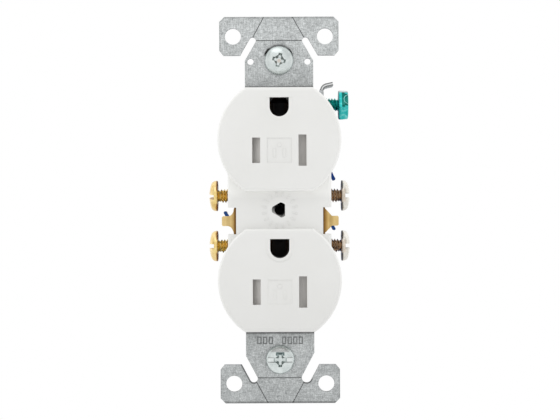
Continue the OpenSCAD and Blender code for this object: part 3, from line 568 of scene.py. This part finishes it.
def refine(node, name, mat, width=0.10, segments=2, limit=28.0, dissolve=0.6, smooth=32.0, edges=None):
    """A CAD node's own shape with its flat faces made whole and every hard edge broken by a small radius."""
    src = NODES[node]
    bm = bmesh.new()
    bm.from_mesh(src.data)
    bmesh.ops.remove_doubles(bm, verts=bm.verts, dist=1e-6)
    bmesh.ops.dissolve_degenerate(bm, dist=2e-6, edges=bm.edges)
    bmesh.ops.dissolve_limit(bm, angle_limit=math.radians(dissolve), use_dissolve_boundaries=False,
                             verts=bm.verts, edges=bm.edges, delimit=set())
    me = bpy.data.meshes.new(name)
    bm.to_mesh(me)
    bm.free()
    o = bpy.data.objects.new(name, me)
    scene.collection.objects.link(o)
    me.materials.clear()
    me.materials.append(mat)
    if width > 0:
        b = o.modifiers.new("edges", "BEVEL")
        b.width = width * MM
        b.segments = segments
        b.limit_method = "ANGLE"
        b.angle_limit = math.radians(limit)
        b.use_clamp_overlap = True
        b.miter_outer = "MITER_SHARP"
        b.harden_normals = False
        apply_modifiers(o)
    finish_shading(o, smooth)
    if edges:
        edges(o)
    weigh(o)
    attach(o, src["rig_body"])
    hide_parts(node)
    return o


def put(o, node, body):
    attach(o, body)
    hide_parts(node)
    return o


def lathe(bm, rows, seg, phase=None):
    """Closed solid of revolution about +X from rows of (x, r); r may be a function of angle. Ends close at their own centre."""
    rings = []
    for x, r in rows:
        ring = []
        for j in range(seg):
            a = 2 * math.pi * j / seg + (phase or 0.0)
            rr = r(a) if callable(r) else r
            ring.append(bm.verts.new((x * MM, rr * math.cos(a) * MM, rr * math.sin(a) * MM)))
        rings.append(ring)
    for a, b in zip(rings, rings[1:]):
        for j in range(seg):
            k = (j + 1) % seg
            bm.faces.new((a[j], b[j], b[k], a[k]))
    bm.faces.new(rings[0])
    bm.faces.new(list(reversed(rings[-1])))
    bmesh.ops.recalc_face_normals(bm, faces=bm.faces)


def thread_radius(x, a, major, minor, pitch, hand=1.0):
    """Radius of a right-hand thread at distance x along its axis and angle a."""
    t = (x / pitch - hand * a / (2 * math.pi)) % 1.0
    t = abs(t - 0.5) * 2.0            # 0 at the crest's middle, 1 at the root's middle
    crest, root = 0.10, 0.80
    f = min(max((t - crest) / (root - crest), 0.0), 1.0)
    return major - (major - minor) * f


def thread_rows(x0, x1, major, minor, pitch, run0=0.6, run1=0.5, tip=0.0, per=12):
    """Rows from x0 (tip end) to x1 (head end): full thread, dying out towards both ends."""
    n = int(round((x1 - x0) / pitch * per))
    rows = []
    for i in range(n + 1):
        x = x0 + (x1 - x0) * i / n
        e0 = min(max((x - x0) / max(run0, 1e-6), 0.0), 1.0)
        e1 = min(max((x1 - x) / max(run1, 1e-6), 0.0), 1.0)

        def r(a, x=x, e0=e0, e1=e1):
            full = thread_radius(x, a, major, minor, pitch)
            low = minor - tip * (1 - e0)
            return low + (full - minor) * min(e0 * 1.15, 1.0) * e1 if e0 < 1 else minor + (full - minor) * e1
        rows.append((x, r))
    return rows


def boolean_cut(o, cutters):
    for i, c in enumerate(cutters):
        m = o.modifiers.new(f"cut{i}", "BOOLEAN")
        m.operation = "DIFFERENCE"
        m.solver = "EXACT"
        m.object = c
    apply_modifiers(o)
    for c in cutters:
        me = c.data
        bpy.data.objects.remove(c)
        bpy.data.meshes.remove(me)


def shade(o, fn):
    """Paints "shade" on every face corner: fn(x, r, normal, point) in mm along and across the screw's own axis."""
    me = o.data
    a = me.color_attributes.new("shade", "FLOAT_COLOR", "CORNER")
    for poly in me.polygons:
        for li in poly.loop_indices:
            co = me.vertices[me.loops[li].vertex_index].co / MM
            d, g = fn(co.x, math.hypot(co.y, co.z), poly.normal, co)
            a.data[li].color = (d, g, 0.0, 1.0)


def strap_edges(o):
    """Painted shade, in red, on the broken edges round the front of the sheet, lighter on its side walls and faint on
    the stamped marks.
    """
    me = o.data
    bm = bmesh.new()
    bm.from_mesh(me)
    lay = bm.loops.layers.float_color.new("shade")
    for f in bm.faces:
        c, n = f.calc_center_median(), f.normal
        if -0.0378 < c.z < -0.0350 and abs(c.x) < 0.0068:
            v = (0.10, 0.0)
        elif n.y < 0 and 0.15 < -n.y < 0.985 and c.y < -0.0006:
            v = (1.0, 0.0)
        elif abs(n.y) <= 0.15 and c.y < -0.0001:
            v = (0.35, 0.0)
        else:
            v = (0.0, 0.0)
        for lp in f.loops:
            lp[lay] = (v[0], v[1], 0.0, 1.0)
    bm.to_mesh(me)
    bm.free()


def cover_ticks(o):
    """Painted shade, in red, on the sides of the small raised ticks round the wall-plate screw hole, and of the square
    signs on the faces.
    """
    me = o.data
    lay = me.color_attributes.new("shade", "FLOAT_COLOR", "CORNER")
    for poly in me.polygons:
        c, n = poly.center / MM, poly.normal
        r = math.hypot(c.x, c.z)
        side = 3.5 < r < 5.2 and -4.6 < c.y < -4.19 and n.y > -0.97
        sign = abs(c.x) < 3.6 and 12.0 < abs(c.z) < 22.0 and -8.21 < c.y < -8.04 and n.y > -0.97
        for li in poly.loop_indices:
            lay.data[li].color = (0.62 if side and c.z < 0.5 else 0.50 if side else 0.70 if sign else 0.0, 0.0, 0.0, 1.0)


def step(v, a, b):
    t = min(max((v - a) / (b - a), 0.0), 1.0)
    return t * t * (3 - 2 * t)


def prism(name, outline, x0, x1, taper=1.0):
    """Cutter: outline in (y, z) mm, from x0 to x1, scaled by taper at x0."""
    ty, tz = taper if isinstance(taper, tuple) else (taper, taper)
    bm = bmesh.new()
    lo = [bm.verts.new((x0 * MM, y * ty * MM, z * tz * MM)) for y, z in outline]
    hi = [bm.verts.new((x1 * MM, y * MM, z * MM)) for y, z in outline]
    n = len(outline)
    bm.faces.new(lo)
    bm.faces.new(list(reversed(hi)))
    for i in range(n):
        bm.faces.new((lo[i], hi[i], hi[(i + 1) % n], lo[(i + 1) % n]))
    bmesh.ops.recalc_face_normals(bm, faces=bm.faces)
    me = bpy.data.meshes.new(name)
    bm.to_mesh(me)
    bm.free()
    o = bpy.data.objects.new(name, me)
    scene.collection.objects.link(o)
    return o


def bevel_all(o, width, segments=2, limit=40.0, clamp=True):
    b = o.modifiers.new("edges", "BEVEL")
    b.width = width * MM
    b.segments = segments
    b.limit_method = "ANGLE"
    b.angle_limit = math.radians(limit)
    b.use_clamp_overlap = clamp
    apply_modifiers(o)


# ---------------------------------------------------------------- screws
def terminal_screw(name, mat, place):
    bm = bmesh.new()
    rows = thread_rows(-6.38, -0.35, 1.97, 1.47, 0.794, run0=1.1, run1=0.7, tip=0.25)
    rows += [(-0.25, 1.60), (-0.06, 1.70), (0.05, 1.92), (0.08, 2.6), (0.08, 3.4), (0.06, 3.98),
             (0.09, 4.18), (0.17, 4.28), (0.30, 4.30), (0.42, 4.30), (0.54, 4.30), (0.66, 4.30), (0.85, 4.28), (1.05, 4.22), (1.22, 4.14),
             (1.40, 4.03), (1.56, 3.89), (1.70, 3.71), (1.83, 3.47), (1.95, 3.14), (2.07, 2.70), (2.18, 2.18), (2.28, 1.60), (2.36, 1.02), (2.41, 0.45)]
    rows = [(x if x < 0.3 else 0.3 + (x - 0.3) * 1.04, r) for x, r in rows]
    lathe(bm, rows, 96)
    o = link_mesh(name, bm, mat, 38)
    boolean_cut(o, [prism(name + "_slot", [(-5, -0.60), (5, -0.60), (5, 0.60), (-5, 0.60)], 1.10, 4.0)])
    o.data.materials.clear()
    o.data.materials.append(mat)

    # painted shade: red in the thread roots, under the head's rim and on the slot walls; green marks the shank and
    # tints the rim in front of it
    def shade_paint(x, r, n, co):
        if x < 0.07 and r < 2.1:
            return 0.30 * step(1.97 - r, 0.18, 0.50), 1.0
        mid = step(abs(co.z), 1.5, 2.2)
        under = (1 - step(x, 0.36, 0.60)) * (0.25 + 0.75 * mid)
        wall = 0.45 if abs(co.z) < 0.61 and x > 1.05 and abs(n.z) > 0.9 else 0.0
        return max(0.92 * under, wall), 0.40 * (1 - mid) * (1 - step(x, 0.9, 1.5))
    shade(o, shade_paint)
    o.data.transform(place)
    finish_shading(o, 38)
    return o


def hex_screw(name, mat, place):
    bm = bmesh.new()
    rows = thread_rows(-6.28, -0.30, 1.97, 1.47, 0.794, run0=1.1, run1=0.6, tip=0.25)

    phase = math.radians(10.5)

    def hexr(lim, flat=3.88):
        """Six-sided radius, cut back to lim by the end's cone."""
        def r(a):
            k = math.pi / 3
            t = (a - phase) % k - k / 2
            return min(flat / math.cos(t), lim)
        return r
    rows += [(-0.2, 1.60), (-0.1, 1.8), (0.0, 2.2), (0.0, 3.4), (0.03, hexr(4.0, 3.75)), (0.14, hexr(4.35)), (0.30, hexr(4.48)), (0.70, hexr(4.48)), (0.9, hexr(4.48)), (1.0, hexr(4.48))]
    rows += [(x, hexr(4.46 - 0.30 * (x - 1.15))) for x in (1.15, 1.35, 1.55, 1.75, 1.95, 2.15, 2.35, 2.52, 2.66)]
    rows += [(2.76, hexr(3.66, 3.68)), (2.83, 3.4), (2.85, 3.1), (2.84, 1.6), (2.80, 0.6)]
    lathe(bm, rows, 72, phase)
    o = link_mesh(name, bm, mat, 25)
    boolean_cut(o, [prism(name + "_slot", turned([(-2.9, -0.60), (2.9, -0.60), (2.9, 0.60), (-2.9, 0.60)], 70.5), 1.70, 4.0)])
    o.data.materials.clear()
    o.data.materials.append(mat)

    # painted shade: red in the thread roots and under the head; green marks the shank
    def shade_paint(x, r, n, co):
        if x < 0.01 and r < 2.1:
            return 0.55 * step(1.97 - r, 0.08, 0.42), 1.0
        return 0.7 * (1 - step(x, 0.05, 0.5)), 0.0
    shade(o, shade_paint)
    # painted reflections on the flats: red for the dark one facing the front, green for the greyer one above, blue
    # marks the facing flat for the ring of light
    tone = o.data.color_attributes.new("tone", "FLOAT_COLOR", "CORNER")
    for poly in o.data.polygons:
        th = math.degrees(math.atan2(poly.normal.z, -poly.normal.y))
        side = poly.center.x > 0 and abs(poly.normal.x) < 0.8
        facing = side and abs(th - 19.5) < 24
        above = side and abs(th - 79.5) < 24
        for li in poly.loop_indices:
            x = o.data.vertices[o.data.loops[li].vertex_index].co.x / MM
            tone.data[li].color = (0.92 * step(x, 0.86, 1.02) if facing else 0.0, 1.0 if above else 0.0, 1.0 if facing else 0.0, 1.0)
    o.data.transform(place)
    finish_shading(o, 24)
    return o


def turned(pts, deg):
    c, q = math.cos(math.radians(deg)), math.sin(math.radians(deg))
    return [(c * y - q * z, q * y + c * z) for y, z in pts]


def cross_outline(w, l, across=None):
    h, k = w / 2, l / 2
    q = (across or l) / 2
    return [(-h, -k), (h, -k), (h, -h), (q, -h), (q, h), (h, h), (h, k), (-h, k), (-h, h), (-q, h), (-q, -h), (-h, -h)]


def mounting_screw(name, mat, place, full_slot):
    bm = bmesh.new()
    rows = thread_rows(-18.95, -3.42, 1.75, 1.32, 0.794, run0=1.4, run1=0.5, tip=0.35, per=10)
    rows += [(-3.36, 1.46), (-3.2, 1.5), (-0.35, 1.5), (-0.1, 1.56), (0.03, 1.75), (0.05, 3.4), (0.07, 3.72), (0.14, 3.90), (0.30, 4.00), (0.68, 4.00),
             (0.90, 3.93), (1.10, 3.80), (1.28, 3.62), (1.44, 3.40), (1.58, 3.14), (1.71, 2.84), (1.82, 2.50), (1.92, 2.14), (2.00, 1.76), (2.07, 1.36), (2.12, 0.95), (2.15, 0.4)]
    lathe(bm, rows, 96)
    o = link_mesh(name, bm, mat, 38)
    cuts = [prism(name + "_cross", cross_outline(1.16, 4.5, 4.9 if full_slot else 4.3), 0.85, 2.6, 0.62),
            prism(name + "_centre", [(-1.9, -0.35), (-0.35, -1.9), (0.35, -1.9), (1.9, -0.35), (1.9, 0.35), (0.35, 1.9), (-0.35, 1.9), (-1.9, 0.35)], 0.80, 2.6, 0.42)]
    if full_slot:
        cuts.append(prism(name + "_slot", [(-3.45, -0.74), (3.45, -0.74), (3.45, 0.74), (-3.45, 0.74)], 1.35, 2.3, (1.0, 0.68)))
    boolean_cut(o, cuts)
    o.data.materials.clear()
    o.data.materials.append(mat)

    # painted shade: red in the thread roots, on the recess walls and under the head; green marks the shank
    def shade_paint(x, r, n, co):
        if x < 0.05 and r < 2.1:
            return 0.5 * step(1.75 - r, 0.05, 0.4), 1.0
        if n.x < 0.80 and x > 0.7 and r < 3.5 and (r < 2.4 or abs(co.z) < 0.76):
            return 0.60, 0.0
        return 0.75 * (1 - step(x, 0.05, 0.30)), 0.0
    shade(o, shade_paint)
    o.data.transform(place)
    finish_shading(o, 34)
    return o


def at(x, y, z, rot):
    return Matrix.Translation(Vector((x, y, z)) * MM) @ rot


FLIP = Matrix.Rotation(math.pi, 4, "Z")
ID = Matrix.Identity(4)
TILT = lambda deg: Matrix.Rotation(math.radians(deg), 4, "X")
for body, mat, s, z, slotname in (
        ("hot_screw_upper", BRASS, -1, SCREW_Z[0], "screw_brass"),
        ("hot_screw_lower", BRASS, -1, SCREW_Z[1], "screw_brass"),
        ("neutral_screw_upper", NICKEL, 1, SCREW_Z[0], "screw_nickel"),
        ("neutral_screw_lower", NICKEL, 1, SCREW_Z[1], "screw_nickel")):
    turn = {"hot_screw_upper": -6, "hot_screw_lower": 0, "neutral_screw_upper": -0.5, "neutral_screw_lower": 0}[body]
    base = ID if s > 0 else FLIP
    o = terminal_screw(body + "_threaded", mat, at(s * 17.4, TERM_Y, z, base @ TILT(turn)))
    put(o, body, body)
o = hex_screw("ground_screw_threaded", GREEN, at(16.72, TERM_Y, GS_Z, ID))
put(o, "ground_screw", "ground_screw")

# local +X of a mounting screw points out of the wall, towards -Y
TO_FRONT = Matrix.Rotation(-math.pi / 2, 4, "Z")
for end, z, turn, full in (("top", MOUNT_Z, 14, False), ("bottom", -MOUNT_Z, 0, True)):
    body = "mounting_screw_" + end
    rot = Matrix.Rotation(math.radians(turn), 4, "Y") @ TO_FRONT
    o = mounting_screw(body + "_threaded", ZINC, at(0, -1.0, z, rot), full)
    put(o, body, body)

# ---------------------------------------------------------------- carried shapes with broken edges
refine("face_cover", "face_cover_moulding", WHITE, 0.07, 2, edges=cover_ticks)
refine("back_body", "back_body_moulding", BLUE, 0.12, 2)
refine("mounting_strap", "mounting_strap_stamping", STEEL, 0.20, 2, edges=strap_edges)
for n in ("hot_terminal_strip", "neutral_terminal_strip"):
    refine(n, n + "_stamping", STRIP, 0.07, 2)
for n in ("ground_contact_upper", "ground_contact_lower", "hot_push_in_clips", "neutral_push_in_clips"):
    refine(n, n + "_formed", CONTACT, 0.05, 2)
refine("ground_rivets", "ground_rivets_set", RIVET, 0.05, 2)
for n in ("tr_frame_upper", "tr_frame_lower"):
    refine(n, n + "_moulding", CARRIER, 0.06, 2)
for n in ("tr_shutter_upper", "tr_shutter_lower"):
    refine(n, n + "_moulding", SHUTTER, 0.08, 2)
for n in ("screw_retainer_top", "screw_retainer_bottom"):
    refine(n, n + "_washer", FIBRE, 0.10, 2)
o = refine("body_screws", "body_screws_set", ZINC, 0.05, 2)


# ---------------------------------------------------------------- shutter springs
def coil_spring(name, x0, x1, y, z, r, w, turns, mat):
    """Close-ended coil along X, swept as a tube."""
    bm = bmesh.new()
    steps, sides = int(turns * 28), 10
    rings = []
    L = x1 - x0 - 2 * w
    for i in range(steps + 1):
        t = i / steps
        tt = turns * t
        # the end turns lie flat against what they push on
        e = 0.8
        lead = 2 * w * 1.02
        if tt < e:
            x = lead * tt / e * 0.9
        elif tt > turns - e:
            x = L - lead * (turns - tt) / e * 0.9
        else:
            x = lead * 0.9 + (L - 2 * lead * 0.9) * (tt - e) / (turns - 2 * e)
        a = 2 * math.pi * tt
        c = Vector((x0 + w + x, y + r * math.cos(a), z + r * math.sin(a)))
        out = Vector((0, math.cos(a), math.sin(a)))
        ring = []
        for j in range(sides):
            b = 2 * math.pi * j / sides
            p = c + out * (w * math.cos(b)) + Vector((1, 0, 0)) * (w * math.sin(b))
            ring.append(bm.verts.new(p * MM))
        rings.append(ring)
    for p, q in zip(rings, rings[1:]):
        for j in range(sides):
            k = (j + 1) % sides
            bm.faces.new((p[j], q[j], q[k], p[k]))
    bm.faces.new(rings[0])
    bm.faces.new(list(reversed(rings[-1])))
    bmesh.ops.recalc_face_normals(bm, faces=bm.faces)
    return link_mesh(name, bm, mat, 60)


for end, z in (("upper", BLADE_Z[0]), ("lower", BLADE_Z[1])):
    node = "tr_spring_" + end
    o = coil_spring(node + "_coil", -4.62, 0.22, -3.62, z, 0.92, 0.15, 7, SPRING)
    put(o, node, "chassis")
    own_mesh(o)

# ---------------------------------------------------------------- camera
cam_data = bpy.data.cameras.new("camera")
cam = bpy.data.objects.new("camera", cam_data)
scene.collection.objects.link(cam)
cam_data.lens = 92.65
cam_data.sensor_width = 36.0
cam_data.clip_start = 0.01
cam_data.clip_end = 20.0
cam.location = (0.00011, -0.403, 0.0)
cam.rotation_euler = (Matrix.Rotation(math.radians(90), 3, "X") @ Matrix.Rotation(math.radians(-0.25), 3, "Z")).to_euler()
scene.camera = cam

# ---------------------------------------------------------------- stage and light
world = bpy.data.worlds.new("studio")
scene.world = world
world.use_nodes = True
wt = world.node_tree
wt.nodes.clear()
out = wt.nodes.new("ShaderNodeOutputWorld")
bg = wt.nodes.new("ShaderNodeBackground")
bgc = wt.nodes.new("ShaderNodeBackground")
lp = wt.nodes.new("ShaderNodeLightPath")
mixs = wt.nodes.new("ShaderNodeMixShader")
tc = wt.nodes.new("ShaderNodeTexCoord")
sep = wt.nodes.new("ShaderNodeSeparateXYZ")
wt.links.new(tc.outputs["Generated"], sep.inputs[0])


def world_ramp(socket, stops):
    mr = wt.nodes.new("ShaderNodeMapRange")
    mr.inputs["From Min"].default_value = -1.0
    mr.inputs["From Max"].default_value = 1.0
    wt.links.new(socket, mr.inputs["Value"])
    r = wt.nodes.new("ShaderNodeValToRGB")
    r.color_ramp.interpolation = "EASE"
    el = r.color_ramp.elements
    while len(el) < len(stops):
        el.new(0.5)
    for e, (p, v) in zip(el, stops):
        e.position = (p + 1) / 2
        e.color = (v, v, v, 1)
    wt.links.new(mr.outputs["Result"], r.inputs["Fac"])
    return r.outputs["Color"]


# soft grey room: pale in front and behind, darker to the sides, above and below
around = world_ramp(sep.outputs[1], [(-1.0, 1.10), (-0.85, 1.0), (-0.6, 0.86), (-0.3, 0.92), (0.0, 1.22), (0.5, 1.22), (1.0, 1.15)])
updown = world_ramp(sep.outputs[2], [(-1.0, 0.80), (-0.3, 0.95), (0.3, 1.0), (1.0, 1.0)])
mul = wt.nodes.new("ShaderNodeMix")
mul.data_type = "RGBA"
mul.blend_type = "MULTIPLY"
mul.inputs[0].default_value = 1.0
wt.links.new(around, mul.inputs[6])
wt.links.new(updown, mul.inputs[7])
wt.links.new(mul.outputs[2], bg.inputs["Color"])
bg.inputs["Strength"].default_value = 0.965
bgc.inputs["Color"].default_value = (1, 1, 1, 1)
bgc.inputs["Strength"].default_value = 1.0
wt.links.new(lp.outputs["Is Camera Ray"], mixs.inputs["Fac"])
wt.links.new(bg.outputs[0], mixs.inputs[1])
wt.links.new(bgc.outputs[0], mixs.inputs[2])
wt.links.new(mixs.outputs[0], out.inputs["Surface"])


def area(name, loc, target, size, power, color=(1, 1, 1)):
    d = bpy.data.lights.new(name, "AREA")
    d.shape = "RECTANGLE"
    d.size, d.size_y = size
    d.energy = power
    d.color = color
    o = bpy.data.objects.new(name, d)
    scene.collection.objects.link(o)
    o.location = loc
    o.rotation_euler = (Vector(target) - Vector(loc)).to_track_quat("-Z", "Y").to_euler()
    return o


area("key", (-0.10, -0.40, 0.55), (0, 0, 0), (0.5, 0.35), 0.42)

# pale floor, below the picture's view
bm = bmesh.new()
bmesh.ops.create_circle(bm, cap_ends=True, segments=96, radius=0.9)
floor_me = bpy.data.meshes.new("floor")
bm.to_mesh(floor_me)
bm.free()
floor = bpy.data.objects.new("floor", floor_me)
floor.location = (0, 0, -0.2)
scene.collection.objects.link(floor)
fm = Mat("floor_pale")
fm.color(fm.ramp(fm.noise(3, 3, 0.5), [(0.3, (0.86, 0.86, 0.86)), (0.7, (0.90, 0.90, 0.90))]))
fm.set(Roughness=0.8)
floor_me.materials.append(fm.m)

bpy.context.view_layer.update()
